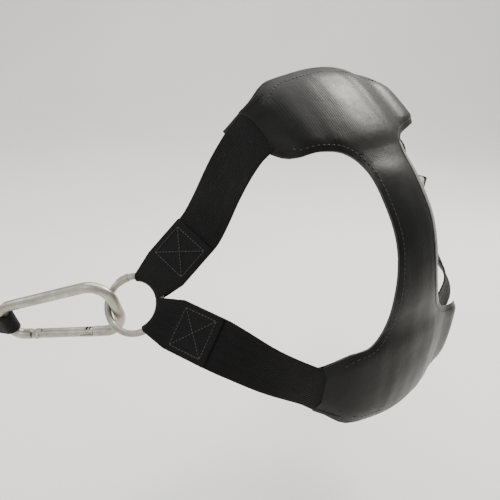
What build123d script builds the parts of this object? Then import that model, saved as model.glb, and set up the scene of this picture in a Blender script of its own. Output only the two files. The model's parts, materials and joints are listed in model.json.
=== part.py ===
"""Rear-wheel tie-down harness for a motorcycle.

An H-shaped fabric cover lies over the tread. Two webbings run through its sleeves and end in
sewn loops round a steel ring on each side. A snap hook hangs in each ring and a short lashing
sling hangs in the hook.

Frame: origin at the centre of the wheel that the harness is worn on, +X to the rear, +Y to the
right-hand side, +Z up. Millimetres.
"""
import os
from math import atan2, cos, degrees, radians, sin

from build123d import *

# ---------------------------------------------------------------- the wheel it is made for
tyre_radius = 315.0          # 190/50 ZR 17
worn_tilt = 21.4             # the cover's middle sits this far above the rear, degrees
crown_radius = 200.0         # cross-section of the tread
crown_angle = 20.4           # half-angle of the crown arc
shoulder_radius = 42.0

# ---------------------------------------------------------------- fabric cover
tread_gap = 0.5
fabric_thickness = 1.2
webbing_thickness = 2.0
layer_gap = 0.3
strip_lift = 15.0            # the centre strip stands off the tread at its middle
strip_radius = 160.0         # its curve there
strip_end_angle = 20.0       # it meets the tread here
band_outer_angle = 40.3      # outer edges of the two bands
band_angle = 33.0            # middle of the webbing in its band
left_wrap = 62.0             # how far the left ends turn round the shoulder
right_wrap = 45.0            # the right ends stand further out
right_panel_wrap = 21.0      # and their top layer stands nearly straight
panel_left_end = 101.5       # half-length of a band, measured across the wheel
panel_right_end = 120.0
liner_overhang = 11.0        # the lower layer reaches past the sleeve mouths
liner_length = 145.0         # half of it, measured across the wheel
liner_droop = 5.0            # past the tread it turns this much more than the webbing
thread_width = 0.8
thread_height = 0.4
stitch_length = 40.0
stitch_width = 46.0

# ---------------------------------------------------------------- webbing
webbing_width = 60.0
webbing_exit = 126.0         # length of webbing from the wheel's middle to the sleeve's end
fold_back = 110.0            # sewn end of each loop, measured from the ring's centre
left_strap_bow = 3.0
right_strap_bow = 26.0
loop_half_angle = 40.0       # share of the ring that each loop takes on its free side

# ---------------------------------------------------------------- ring and hook
ring_wire = 8.0
ring_bore = 60.0
weld_swell = 1.6             # the weld is this much thicker than the wire
weld_position = 100.0
weld_length = 14.0
ring_lean = 21.0             # the ring leans out of the plane of the two straps
hook_lean = 27.0             # and the hook leans the other way
hook_length = 160.0
hook_wire = 13.0
hook_head_width = 87.0
hook_foot_width = 56.0
head_bend = 26.0
foot_bend = 17.0
running_gap = 0.3
gate_wire = 12.0
nose_position = 48.0         # from the head of the hook
claw_length = 17.0
claw_drop = 0.5              # the claw stops this far below the wire's middle
gate_split = 0.3             # and the gate's lip starts this far above it
swing_gap = 0.9              # end clearances that let the gate swing
latch_pin_diameter = 3.2
latch_pin_length = 10.0
latch_offset = 4.0
latch_rise = 2.6
notch_floor = 0.7
press_gap = 0.02
pivot_play = 0.06
pivot_position = 122.0
rivet_diameter = 5.0
rivet_head = 7.2
rivet_head_height = 1.2
rivet_edge = 0.5
spot_face = 5.2
pivot_neck = 8.0             # the hook's wire ends this far behind the rivet
tongue_thickness = 5.0
tongue_height = 9.0
tongue_reach = 5.0           # from the rivet's centre to the flat that the plunger bears on
fork_gap = 0.3
fork_clearance = 2.6
spring_bore = 6.4
spring_bore_depth = 34.0
spring_wire = 0.8
spring_diameter = 5.6
spring_length = 17.6
spring_coils = 8
plunger_diameter = 5.8
plunger_length = 15.6

# ---------------------------------------------------------------- where the rings hang
left_ring_place = (78.4, 220.0, -8.0)        # outward, across, upward
right_ring_place = (133.0, 266.5, -4.0)
pull_share = 1.3             # the lower strap's share of the pull, to the upper one's 1

# ---------------------------------------------------------------- lashing sling
sling_width = 25.0
sling_web = 1.6
sling_length = 96.0
sling_eye = 20.0
sling_throat = 27.0          # where its two layers come together, from each loop's centre
sling_stitch_length = 34.0
sling_stitch_width = 18.0
bow_sag = 3.1                # the foot of the hook curves this much across the sling

# ---------------------------------------------------------------- sizes that follow
tread_line_radius = tyre_radius + tread_gap
liner_bottom = 0.0
liner_top = liner_bottom + fabric_thickness
webbing_bottom = liner_top + layer_gap
webbing_top = webbing_bottom + webbing_thickness
panel_bottom = webbing_top + layer_gap
panel_top = panel_bottom + fabric_thickness
ring_radius = (ring_bore + ring_wire) / 2
loop_inner = ring_wire / 2 + running_gap
loop_outer = loop_inner + webbing_thickness
double_thickness = 2 * webbing_thickness + layer_gap
front_reach = 400.0          # longer than anything that is trimmed with it

tilt = radians(worn_tilt)
outward = Vector(cos(tilt), 0, sin(tilt))       # from the axle through the cover's middle
across = Vector(0, 1, 0)
upward = Vector(-sin(tilt), 0, cos(tilt))       # round the tread, towards the upper band


def worn(x, y, z):
    """A point given along outward, across and upward."""
    return outward * x + across * y + upward * z


# ================================================================ shape of the worn cover
class StripCurve:
    """Side view of the cover: bulge, reversed blend and tread, as three tangent arcs."""

    def __init__(self):
        end = radians(strip_end_angle)
        self.bulge_centre = tread_line_radius + strip_lift - strip_radius
        top = strip_radius**2 - tread_line_radius**2 - self.bulge_centre**2
        top += 2 * self.bulge_centre * tread_line_radius * cos(end)
        bottom = 2 * (tread_line_radius - self.bulge_centre * cos(end) - strip_radius)
        self.blend_radius = top / bottom
        reach = tread_line_radius + self.blend_radius
        self.blend_centre = (reach * cos(end), reach * sin(end))
        run = self.blend_centre[0] - self.bulge_centre
        self.bulge_angle = degrees(atan2(self.blend_centre[1], run))


strip = StripCurve()
side_view = Plane(origin=(0, 0, 0), x_dir=outward, z_dir=-across)
front_view = Plane(origin=(0, 0, 0), x_dir=across, z_dir=outward)
section_view = Plane(origin=outward * strip_lift, x_dir=across, z_dir=-upward)
mid_plane = Plane(origin=(0, 0, 0), x_dir=outward, z_dir=upward)


def crown_point(length, level, left_turn, right_turn):
    """Across and height of a point on the tread's section, a signed length from its middle."""
    side = -1 if length < 0 else 1
    turn = radians(left_turn if length < 0 else right_turn)
    first = radians(crown_angle)
    rest = abs(length) - crown_radius * first
    if rest <= 0:
        first = abs(length) / crown_radius
        y, h = crown_radius * sin(first), -crown_radius * (1 - cos(first))
        angle = first
    else:
        angle = min(turn, first + rest / shoulder_radius)
        tail = rest - shoulder_radius * (angle - first)
        y = crown_radius * sin(first) + shoulder_radius * (sin(angle) - sin(first))
        h = -crown_radius * (1 - cos(first)) - shoulder_radius * (cos(first) - cos(angle))
        y, h = y + tail * cos(angle), h - tail * sin(angle)
    return side * (y + level * sin(angle)), h + level * cos(angle)


def crown_curve(level, left_turn, right_turn, left_length, right_length):
    """Lines of the tread's section at one level; returns its two end points."""
    centre = tread_line_radius - crown_radius
    inner = crown_radius - shoulder_radius
    CenterArc((0, centre), crown_radius + level, 90 - crown_angle, 2 * crown_angle)
    ends = []
    for side, turn, length in ((-1, left_turn, left_length), (1, right_turn, right_length)):
        angle = radians(crown_angle)
        shoulder = (side * inner * sin(angle), centre + inner * cos(angle))
        start = 90 + crown_angle if side < 0 else 90 - crown_angle
        CenterArc(shoulder, shoulder_radius + level, start, -side * (turn - crown_angle))
        bend_end = crown_radius * angle + shoulder_radius * (radians(turn) - angle)
        y0, h0 = crown_point(side * bend_end, level, left_turn, right_turn)
        y1, h1 = crown_point(side * length, level, left_turn, right_turn)
        Line((y0, tread_line_radius + h0), (y1, tread_line_radius + h1))
        ends.append((y1, tread_line_radius + h1))
    return ends


def layer_section(bottom, top, bottom_turns, top_turns, lengths):
    """Cross-section of a layer of the cover, between two levels."""
    with BuildSketch(section_view) as section:
        with BuildLine():
            low = crown_curve(bottom, *bottom_turns, *lengths)
            high = crown_curve(top, *top_turns, *lengths)
            Line(low[0], high[0])
            Line(low[1], high[1])
        make_face()
    return section.sketch


def strip_path():
    """Half of the cover's side view, from its middle to past the upper band."""
    end = strip_end_angle
    with BuildLine(side_view) as path:
        CenterArc((strip.bulge_centre, 0), strip_radius, 0, strip.bulge_angle)
        CenterArc(strip.blend_centre, strip.blend_radius, 180 + strip.bulge_angle,
                  end - strip.bulge_angle)
        CenterArc((0, 0), tread_line_radius, end, band_outer_angle - end)
    return path.wire()


def band_edge(y, level):
    """How far a band's outer edge is from the cover's middle, in front view."""
    low, high = 0.0, 200.0
    side = -1 if y < 0 else 1
    for _ in range(40):
        mid = (low + high) / 2
        if abs(crown_point(side * mid, level, left_wrap, right_panel_wrap)[0]) < abs(y):
            low = mid
        else:
            high = mid
    drop = crown_point(side * low, level, left_wrap, right_panel_wrap)[1]
    return (tread_line_radius + drop) * sin(radians(band_outer_angle))


# Front view of the H, worn: the notches are uneven because the cover is pulled to the left.
left_notch = [(-panel_left_end, 123), (-93, 109), (-72, 111), (-48, 102), (-35, 81), (-37, 40),
              (-39, -5), (-46, -55), (-51, -86), (-66, -105), (-88, -108), (-panel_left_end, -120)]
right_notch = [(panel_right_end, -112), (88, -108), (60, -98), (36, -76), (25, -48), (27, -15),
               (31, 15), (34, 48), (43, 84), (56, 106), (84, 114), (panel_right_end, 122)]


def chain(*points):
    """Straight lines through the points, without repeats."""
    kept = [Vector(*points[0])]
    for point in points[1:]:
        if (Vector(*point) - kept[-1]).length > 0.01:
            kept.append(Vector(*point))
    Polyline(*kept)


def h_outline(overhang=0.0):
    """Closed outline of the cover in front view, longer at the mouths by the overhang."""
    left, right = -panel_left_end - overhang, panel_right_end + overhang
    edge_ys = [left + 3, -70, -35, 0, 35, 70, right - 3]
    top = [(y, band_edge(y, panel_top)) for y in edge_ys]
    bottom = [(y, -z) for y, z in top]
    with BuildSketch(front_view) as outline:
        with BuildLine():
            Spline(*top)
            Spline(*bottom)
            Spline(*left_notch)
            Spline(*right_notch)
            chain(top[0], (left, top[0][1] - 8), (left, left_notch[0][1]), left_notch[0])
            chain(left_notch[-1], (left, left_notch[-1][1]), (left, bottom[0][1] + 8), bottom[0])
            chain(bottom[-1], (right, bottom[-1][1] + 8), (right, right_notch[0][1]), right_notch[0])
            chain(right_notch[-1], (right, right_notch[-1][1]), (right, top[-1][1] - 8), top[-1])
        make_face()
    return outline.sketch


def finish(piece, label):
    """Name a piece and write its file."""
    piece.part.label = label
    export_step(piece.part, f"parts/{label}.step")


os.makedirs("parts", exist_ok=True)
path = strip_path()
lengths = (liner_length, liner_length)
liner_turns = (left_wrap + liner_droop, right_wrap + liner_droop)
panel_turns = (left_wrap, right_panel_wrap)

# ---------------------------------------------------------------- lower layer of the cover
with BuildPart() as inner_liner:
    sweep(layer_section(liner_bottom, liner_top, liner_turns, liner_turns, lengths), path=path)
    mirror(about=mid_plane)
    extrude(h_outline(overhang=liner_overhang), amount=front_reach, dir=outward, mode=Mode.INTERSECT)
finish(inner_liner, "inner_liner")

# ---------------------------------------------------------------- top layer of the cover
with BuildPart() as outer_panel:
    sweep(layer_section(panel_bottom, panel_top, panel_turns, panel_turns, lengths), path=path)
    mirror(about=mid_plane)
    extrude(h_outline(), amount=front_reach, dir=outward, mode=Mode.INTERSECT)
finish(outer_panel, "outer_panel")


# ================================================================ where each side's parts lie
class Side:
    """Directions and places of one side's ring, straps and hook."""

    def __init__(self, name, sign, ring_place, wrap, bow):
        self.name = name
        self.sign = sign
        self.bow = bow
        self.ring = worn(ring_place[0], sign * ring_place[1], ring_place[2])
        level = (webbing_bottom + webbing_top) / 2
        y, h = crown_point(sign * webbing_exit, level, left_wrap, right_wrap)
        reach = tread_line_radius + h
        turn = radians(wrap)
        self.mouths = []
        for half in (1, -1):
            angle = half * radians(band_angle)
            radial = outward * cos(angle) + upward * sin(angle)
            tangent = upward * cos(angle) - outward * sin(angle)
            tail = across * (sign * cos(turn)) - radial * sin(turn)
            self.mouths.append((radial * reach + across * y, tangent, tail))
        pulls = [(mouth[0] - self.ring).normalized() for mouth in self.mouths]
        self.pull = -(pulls[0] + pulls[1] * pull_share).normalized()
        normal = pulls[0].cross(pulls[1]).normalized()
        inward = normal if normal.dot(across) * sign < 0 else -normal
        top = inward.cross(self.pull).normalized()
        top = top if top.dot(upward) > 0 else -top
        lean, back = radians(ring_lean), radians(hook_lean)
        self.ring_top = top * cos(lean) + inward * sin(lean)
        self.ring_inward = inward * cos(lean) - top * sin(lean)
        self.hook_top = top * cos(back) - inward * sin(back)
        self.hook_head = self.ring - self.pull * (hook_wire + running_gap - ring_radius
                                                  + ring_wire / 2)
        self.strap_angles = [degrees(atan2(pull.dot(self.ring_top), -pull.dot(self.pull)))
                             for pull in pulls]

    def in_ring(self, angle):
        """Direction in the ring's plane, turned from the straps towards the ring's top."""
        turn = radians(angle)
        return self.ring_top * sin(turn) - self.pull * cos(turn)


sides = [Side("left", -1, left_ring_place, left_wrap, left_strap_bow),
         Side("right", 1, right_ring_place, right_wrap, right_strap_bow)]


# ---------------------------------------------------------------- webbing
def loop_end(side, half):
    """Sewn end of a webbing: the loop round the ring and the two layers that it runs into."""
    angle = side.strap_angles[half]
    lead = side.in_ring(angle)
    sense = 1 if half == 0 else -1
    middle = sum(side.strap_angles) / 2
    free_edge = angle + sense * loop_half_angle
    shared_edge = middle + sense * 0.5
    start = side.in_ring(shared_edge)
    spin = start.cross(side.in_ring(free_edge)).normalized()
    fan_length = 22.0
    with BuildPart() as end:
        with BuildSketch(Plane(origin=side.ring, x_dir=start, z_dir=start.cross(spin))):
            with BuildSketch(mode=Mode.PRIVATE) as outer:
                with Locations((ring_radius, 0)):
                    Circle(loop_outer)
                with Locations((ring_radius + fan_length, 0)):
                    Rectangle(2, double_thickness)
            make_hull(outer.sketch.edges())
            with Locations((ring_radius, 0)):
                Circle(loop_inner, mode=Mode.SUBTRACT)
        revolve(axis=Axis(side.ring, spin), revolution_arc=abs(free_edge - shared_edge))
        with BuildSketch(Plane(origin=side.ring, x_dir=lead, z_dir=spin)):
            with Locations((ring_radius + fan_length / 2 + 20, 0)):
                Rectangle(fan_length + 50, webbing_width)
        extrude(amount=loop_outer + 1, both=True, mode=Mode.INTERSECT)
        with BuildSketch(Plane(origin=side.ring, x_dir=lead, z_dir=spin)):
            with Locations(((fold_back + ring_radius + fan_length - 8) / 2, 0)):
                Rectangle(fold_back - ring_radius - fan_length + 8, webbing_width)
        extrude(amount=double_thickness / 2, both=True)
        keep = Plane(origin=side.ring, z_dir=spin.cross(start))
        split(bisect_by=keep, keep=Keep.TOP)
    return end.part, lead, spin


def strap(side, half, lead, spin):
    """Single webbing from its sewn end at the ring to the sleeve's mouth, slightly bowed."""
    mouth, tangent, tail = side.mouths[half]
    inner = (webbing_thickness + layer_gap) / 2
    root = side.ring + lead * (fold_back - 4) + side.ring_inward * inner
    run = (mouth - root).normalized()
    wide_root = side.ring_inward.cross(lead)
    wide_mouth = tangent if tangent.dot(wide_root) > 0 else -tangent
    middle_wide = (wide_root + wide_mouth).normalized()
    bowed = run.cross(middle_wide).normalized()
    bowed = bowed if bowed.dot(across) * side.sign > 0 else -bowed
    middle = (root + mouth) * 0.5 + bowed * side.bow
    with BuildPart() as web:
        for place, wide, along in ((root, wide_root, lead), (middle, middle_wide, run),
                                   (mouth - tail * 0.5, wide_mouth, -tail)):
            with BuildSketch(Plane(origin=place, x_dir=wide, z_dir=along)):
                Rectangle(webbing_width, webbing_thickness)
        loft()
    return web.part


def sleeve_run(half):
    """The part of a webbing inside its sleeve, across the whole wheel."""
    sign = 1 if half == 0 else -1
    radial_angle = sign * radians(band_angle)
    radial = outward * cos(radial_angle) + upward * sin(radial_angle)
    tangent = upward * cos(radial_angle) - outward * sin(radial_angle)
    half_span = degrees(webbing_width / 2 / (tyre_radius - 60))
    first = radians(sign * band_angle - half_span)
    start = outward * cos(first) + upward * sin(first)
    with BuildSketch(Plane(origin=(0, 0, 0), x_dir=across, z_dir=across.cross(start))) as section:
        with BuildLine():
            reach = (webbing_exit, webbing_exit)
            turns = (left_wrap, right_wrap)
            low = crown_curve(webbing_bottom, *turns, *reach)
            high = crown_curve(webbing_top, *turns, *reach)
            Line(low[0], high[0])
            Line(low[1], high[1])
        make_face()
    with BuildPart() as band:
        revolve(section.sketch, axis=Axis((0, 0, 0), -across), revolution_arc=2 * half_span)
        with BuildSketch(Plane(origin=radial * tyre_radius, x_dir=across, z_dir=radial)):
            Rectangle(front_reach, webbing_width)
        extrude(amount=100, both=True, mode=Mode.INTERSECT)
    return band.part


for half, label in ((0, "upper_webbing"), (1, "lower_webbing")):
    with BuildPart() as webbing:
        add(sleeve_run(half))
        for side in sides:
            end, lead, spin = loop_end(side, half)
            add(strap(side, half, lead, spin))
            add(end)
    finish(webbing, label)

# ---------------------------------------------------------------- box stitches on the loops
for side in sides:
    for half, level_name in ((0, "upper"), (1, "lower")):
        lead = side.in_ring(side.strap_angles[half])
        wide = side.ring_inward.cross(lead)
        centre = side.ring + lead * (fold_back - 8 - stitch_length / 2)
        with BuildPart() as stitches:
            for face in (-1, 1):
                seat = centre + side.ring_inward * (face * double_thickness / 2)
                with BuildSketch(Plane(origin=seat, x_dir=lead, z_dir=side.ring_inward * face)):
                    Rectangle(stitch_length, stitch_width)
                    Rectangle(stitch_length - 2 * thread_width, stitch_width - 2 * thread_width,
                              mode=Mode.SUBTRACT)
                    diagonal = degrees(atan2(stitch_width, stitch_length))
                    reach = (stitch_length**2 + stitch_width**2) ** 0.5 - 3 * thread_width
                    for turn in (diagonal, -diagonal):
                        with Locations(Rotation(0, 0, turn)):
                            Rectangle(reach, thread_width)
                extrude(amount=thread_height)
        finish(stitches, f"{side.name}_{level_name}_loop_stitches")

# ---------------------------------------------------------------- rings
for side in sides:
    with BuildPart() as ring:
        weld_arc = degrees(weld_length / ring_radius)
        for wire, first, arc in ((ring_wire, 0, 360),
                                 (ring_wire + weld_swell, weld_position, weld_arc)):
            start = side.in_ring(first)
            spin = start.cross(side.in_ring(first + 90)).normalized()
            with BuildSketch(Plane(origin=side.ring, x_dir=start, z_dir=start.cross(spin))):
                with Locations((ring_radius, 0)):
                    Circle(wire / 2)
            revolve(axis=Axis(side.ring, spin), revolution_arc=arc)
    finish(ring, f"{side.name}_ring")

# ---------------------------------------------------------------- snap hooks
half_head = (hook_head_width - hook_wire) / 2
half_foot = (hook_foot_width - hook_wire) / 2
head_line = hook_wire / 2
foot_line = hook_length - hook_wire / 2
side_slope = atan2(half_head - half_foot, foot_line - head_line)


def gate_side(position):
    """Distance of the gate side's centre line from the hook's middle, along the hook."""
    return -half_head + (position - head_line) * (half_head - half_foot) / (foot_line - head_line)


for side in sides:
    flat = Plane(origin=side.hook_head, x_dir=side.pull, z_dir=side.pull.cross(side.hook_top))

    def along_gate(position):
        """Plane on the gate side's centre line: x towards the foot, y into the hook."""
        place = flat.from_local_coords((position, gate_side(position), 0))
        way = side.pull * cos(side_slope) + side.hook_top * sin(side_slope)
        return Plane(origin=place, x_dir=way, z_dir=flat.z_dir)

    def bar(position):
        """Plane square to the gate side's centre line, its normal towards the foot."""
        here = along_gate(position)
        return Plane(origin=here.origin, x_dir=here.y_dir, z_dir=here.x_dir)

    pivot = along_gate(pivot_position)
    nose = along_gate(nose_position)
    latch = along_gate(nose_position + latch_offset)
    cheek_radius = gate_wire / 2

    with BuildPart() as hook_body:
        with BuildLine(flat) as line:
            FilletPolyline((nose_position, gate_side(nose_position)), (head_line, -half_head),
                           (head_line, half_head), (foot_line, half_foot),
                           (foot_line, -half_foot),
                           (pivot_position + pivot_neck, gate_side(pivot_position + pivot_neck)),
                           radius=[head_bend, head_bend, foot_bend, foot_bend])
        with BuildSketch(Plane(origin=line.wire() @ 0, z_dir=line.wire() % 0)):
            Circle(hook_wire / 2)
        sweep(path=line.wire())
        with BuildSketch(bar(nose_position)):
            Circle(hook_wire / 2)
            with Locations((hook_wire / 2 - claw_drop, 0)):
                Rectangle(hook_wire, 2 * hook_wire, mode=Mode.SUBTRACT)
        extrude(amount=claw_length)
        with BuildSketch(latch):
            Rectangle(2 * latch_offset, tongue_height)
            with Locations((0, (tongue_height + notch_floor) / 2)):
                Rectangle(latch_pin_diameter + 2 * running_gap, tongue_height - notch_floor,
                          mode=Mode.SUBTRACT)
        extrude(amount=tongue_thickness / 2, both=True)
        with BuildSketch(pivot):
            with Locations(((pivot_neck + 1 - tongue_reach) / 2, 0)):
                Rectangle(pivot_neck + 1 + tongue_reach, tongue_height)
            Circle(rivet_diameter / 2 + press_gap, mode=Mode.SUBTRACT)
        extrude(amount=tongue_thickness / 2, both=True)
    finish(hook_body, f"{side.name}_hook_body")

    nose_run = (nose_position - pivot_position) / cos(side_slope)
    claw_end = nose_run + claw_length
    fork_width = tongue_thickness + 2 * fork_gap
    fork_root = -tongue_reach - fork_clearance
    with BuildPart() as hook_gate:
        with BuildSketch(Plane(origin=pivot.origin, x_dir=pivot.y_dir, z_dir=pivot.x_dir)
                         .offset(claw_end + swing_gap)):
            Circle(cheek_radius)
        extrude(amount=-claw_end - swing_gap + cheek_radius)
        with BuildSketch(Plane(origin=pivot.origin, x_dir=pivot.y_dir, z_dir=pivot.x_dir)
                         .offset(nose_run + swing_gap)):
            Circle(cheek_radius)
            with Locations((gate_split - cheek_radius, 0)):
                Rectangle(2 * cheek_radius, 3 * cheek_radius, mode=Mode.SUBTRACT)
        extrude(amount=claw_length)
        with BuildSketch(pivot):
            with Locations((fork_root + 3 * cheek_radius, 0)):
                Rectangle(6 * cheek_radius, 4 * cheek_radius)
            Circle(cheek_radius, mode=Mode.SUBTRACT)
            with Locations((fork_root / 2, 0)):
                Rectangle(-fork_root, 2 * cheek_radius, mode=Mode.SUBTRACT)
        extrude(amount=2 * cheek_radius, both=True, mode=Mode.SUBTRACT)
        with BuildSketch(pivot):
            with Locations((fork_root + 2 * cheek_radius, 0),
                           (nose_run + latch_offset + swing_gap, 0)):
                Rectangle(4 * cheek_radius, 4 * cheek_radius)
            with Locations((nose_run + 2 * latch_offset + 2 * swing_gap + 2 * cheek_radius, 0)):
                Rectangle(4 * cheek_radius, 5 * cheek_radius, mode=Mode.SUBTRACT)
            with Locations((fork_root + 2 * cheek_radius, 0)):
                Rectangle(4 * cheek_radius, 4 * cheek_radius)
        extrude(amount=fork_width / 2, both=True, mode=Mode.SUBTRACT)
        with BuildSketch(pivot):
            Circle(rivet_diameter / 2 + pivot_play)
            with Locations((nose_run + latch_offset, latch_rise)):
                Circle(latch_pin_diameter / 2 + press_gap)
        extrude(amount=cheek_radius, both=True, mode=Mode.SUBTRACT)
        for face in (-1, 1):
            with BuildSketch(pivot.offset(face * spot_face)):
                Circle(rivet_head / 2 + pivot_play)
            extrude(amount=face * cheek_radius, mode=Mode.SUBTRACT)
        with BuildSketch(Plane(origin=pivot.origin, x_dir=pivot.y_dir, z_dir=pivot.x_dir)
                         .offset(-tongue_reach)):
            Circle(spring_bore / 2)
        extrude(amount=-spring_bore_depth - fork_clearance, mode=Mode.SUBTRACT)
    finish(hook_gate, f"{side.name}_hook_gate")

    with BuildPart() as gate_rivet:
        with BuildSketch(pivot):
            Circle(rivet_diameter / 2)
        extrude(amount=spot_face + pivot_play, both=True)
        for face in (-1, 1):
            with BuildSketch(pivot.offset(face * (spot_face + pivot_play))):
                Circle(rivet_head / 2)
            extrude(amount=face * rivet_head_height)
        rims = gate_rivet.edges().filter_by(GeomType.CIRCLE).group_by(SortBy.RADIUS)[-1]
        fillet(rims.sort_by(Axis(pivot.origin, pivot.z_dir))[-1], rivet_edge)
    finish(gate_rivet, f"{side.name}_gate_rivet")

    with BuildPart() as latch_pin:
        with BuildSketch(Plane(origin=pivot.from_local_coords((nose_run + latch_offset,
                                                               latch_rise, 0)),
                               z_dir=pivot.z_dir)):
            Circle(latch_pin_diameter / 2)
        extrude(amount=latch_pin_length / 2, both=True)
    finish(latch_pin, f"{side.name}_latch_pin")

    with BuildPart() as gate_plunger:
        with BuildSketch(Plane(origin=pivot.origin, x_dir=pivot.y_dir, z_dir=pivot.x_dir)
                         .offset(-tongue_reach - running_gap)):
            Circle(plunger_diameter / 2)
        extrude(amount=-plunger_length)
    finish(gate_plunger, f"{side.name}_gate_plunger")

    with BuildPart() as gate_spring:
        spring_end = fork_root - spring_bore_depth + running_gap + spring_wire / 2
        coil_start = pivot.from_local_coords((spring_end, 0, 0))
        coil_radius = (spring_diameter - spring_wire) / 2
        with BuildLine() as coil:
            Helix(pitch=spring_length / spring_coils, height=spring_length, radius=coil_radius,
                  center=coil_start, direction=pivot.x_dir)
        with BuildSketch(Plane(origin=coil.wire() @ 0, z_dir=coil.wire() % 0)):
            Circle(spring_wire / 2)
        sweep(path=coil.wire(), is_frenet=True)
    finish(gate_spring, f"{side.name}_gate_spring")

    # ------------------------------------------------------------ lashing sling
    bow = flat.from_local_coords((foot_line - bow_sag / 2, 0, 0))
    sling_view = Plane(origin=bow, x_dir=side.pull, z_dir=side.hook_top)
    bow_hole = hook_wire / 2 + bow_sag / 2 + running_gap
    web_double = 2 * sling_web + layer_gap
    with BuildPart() as lashing_sling:
        with BuildSketch(sling_view):
            with BuildSketch(mode=Mode.PRIVATE) as bow_loop:
                Circle(bow_hole + sling_web)
                with Locations((sling_throat, 0)):
                    Rectangle(1, web_double)
            make_hull(bow_loop.sketch.edges())
            with Locations((sling_length / 2, 0)):
                Rectangle(sling_length - 2 * sling_throat, web_double)
            with BuildSketch(mode=Mode.PRIVATE) as free_loop:
                with Locations((sling_length, 0)):
                    Circle(sling_eye / 2 + sling_web)
                with Locations((sling_length - sling_throat, 0)):
                    Rectangle(1, web_double)
            make_hull(free_loop.sketch.edges())
            with BuildSketch(mode=Mode.PRIVATE) as bow_space:
                Circle(bow_hole)
                with Locations((sling_throat - 5, 0)):
                    Rectangle(0.5, layer_gap)
            make_hull(bow_space.sketch.edges(), mode=Mode.SUBTRACT)
            with BuildSketch(mode=Mode.PRIVATE) as eye_space:
                with Locations((sling_length, 0)):
                    Circle(sling_eye / 2)
                with Locations((sling_length - sling_throat + 5, 0)):
                    Rectangle(0.5, layer_gap)
            make_hull(eye_space.sketch.edges(), mode=Mode.SUBTRACT)
        extrude(amount=sling_width / 2, both=True)
    finish(lashing_sling, f"{side.name}_lashing_sling")

    with BuildPart() as sling_stitches:
        sling_flat = Plane(origin=sling_view.from_local_coords((sling_length / 2, 0, 0)),
                           x_dir=side.pull, z_dir=side.pull.cross(side.hook_top))
        for face in (-1, 1):
            with BuildSketch(sling_flat.offset(face * web_double / 2)):
                Rectangle(sling_stitch_length, sling_stitch_width)
                Rectangle(sling_stitch_length - 2 * thread_width,
                          sling_stitch_width - 2 * thread_width, mode=Mode.SUBTRACT)
                with Locations(Rotation(0, 0, degrees(atan2(sling_stitch_width,
                                                            sling_stitch_length)))):
                    Rectangle((sling_stitch_length**2 + sling_stitch_width**2) ** 0.5
                              - 4 * thread_width, thread_width)
            extrude(amount=face * thread_height)
    finish(sling_stitches, f"{side.name}_sling_stitches")
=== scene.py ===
"""Looks of the rear-wheel tie-down harness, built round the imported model.

The file follows the harness as it is put together: the two layers of the cover, their seams, the
two webbings that run through the cover's sleeves, the sewn loops, the rings, the snap hooks and
the lashing slings. Metres throughout, in the model's own frame.
"""

import json
from math import asin, atan2, cos, degrees, pi, radians, sin

import bmesh
import bpy
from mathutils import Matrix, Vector, noise


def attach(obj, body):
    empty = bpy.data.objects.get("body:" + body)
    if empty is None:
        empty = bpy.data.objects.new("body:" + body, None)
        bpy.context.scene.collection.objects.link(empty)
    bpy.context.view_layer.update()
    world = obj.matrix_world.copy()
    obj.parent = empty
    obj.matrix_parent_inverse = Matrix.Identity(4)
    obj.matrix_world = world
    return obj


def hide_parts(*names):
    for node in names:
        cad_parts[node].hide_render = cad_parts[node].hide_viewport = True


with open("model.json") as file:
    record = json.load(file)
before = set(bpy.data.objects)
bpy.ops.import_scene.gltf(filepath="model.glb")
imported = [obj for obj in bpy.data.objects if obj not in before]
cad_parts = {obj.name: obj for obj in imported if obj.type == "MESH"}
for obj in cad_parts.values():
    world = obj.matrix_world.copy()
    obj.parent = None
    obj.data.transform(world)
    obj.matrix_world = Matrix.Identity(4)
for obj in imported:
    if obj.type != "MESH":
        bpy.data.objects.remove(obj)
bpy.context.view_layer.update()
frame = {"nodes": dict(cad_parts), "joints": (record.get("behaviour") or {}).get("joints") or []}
bpy.ops.object.select_all(action="DESELECT")
joints = {joint["name"]: joint for joint in frame["joints"]}

# ---------------------------------------------------------------- camera, floor and light
# Seen from behind and to the left of the motorcycle, a little above the axle. The harness hangs
# at the height at which a wheel would carry it, over a pale studio floor.
camera_place = (0.63669, -0.53478, 0.34701)
camera_way = Vector((-0.69313, 0.61383, -0.37787))
bpy.ops.object.camera_add(location=camera_place)
camera = bpy.context.object
camera.rotation_euler = camera_way.to_track_quat("-Z", "Y").to_euler()
camera.data.sensor_width = 36
camera.data.lens = 43.2
bpy.context.scene.camera = camera

# The floor sweeps up into a wall behind the harness, so that the camera sees no horizon.
wheel_radius = 0.315
floor_ahead = Vector((camera_way.x, camera_way.y, 0)).normalized()
floor_aside = Vector((-floor_ahead.y, floor_ahead.x, 0))
floor_back, floor_half, sweep_radius, wall_height = 2.2, 6.0, 1.2, 4.0
profile = [(-floor_half, 0.0), (floor_back, 0.0)]
profile += [(floor_back + sweep_radius * sin(radians(a)), sweep_radius * (1 - cos(radians(a))))
            for a in range(6, 91, 6)]
profile.append((floor_back + sweep_radius, wall_height))
sweep = bpy.data.meshes.new("studio_floor")
corners = [floor_ahead * out + floor_aside * (floor_half * side) + Vector((0, 0, up - wheel_radius))
           for out, up in profile for side in (-1, 1)]
sweep.from_pydata(corners, [], [(i, i + 1, i + 3, i + 2) for i in range(0, len(corners) - 2, 2)])
sweep.polygons.foreach_set("use_smooth", [True] * len(sweep.polygons))
floor = bpy.data.objects.new("studio_floor", sweep)
bpy.context.collection.objects.link(floor)

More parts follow.
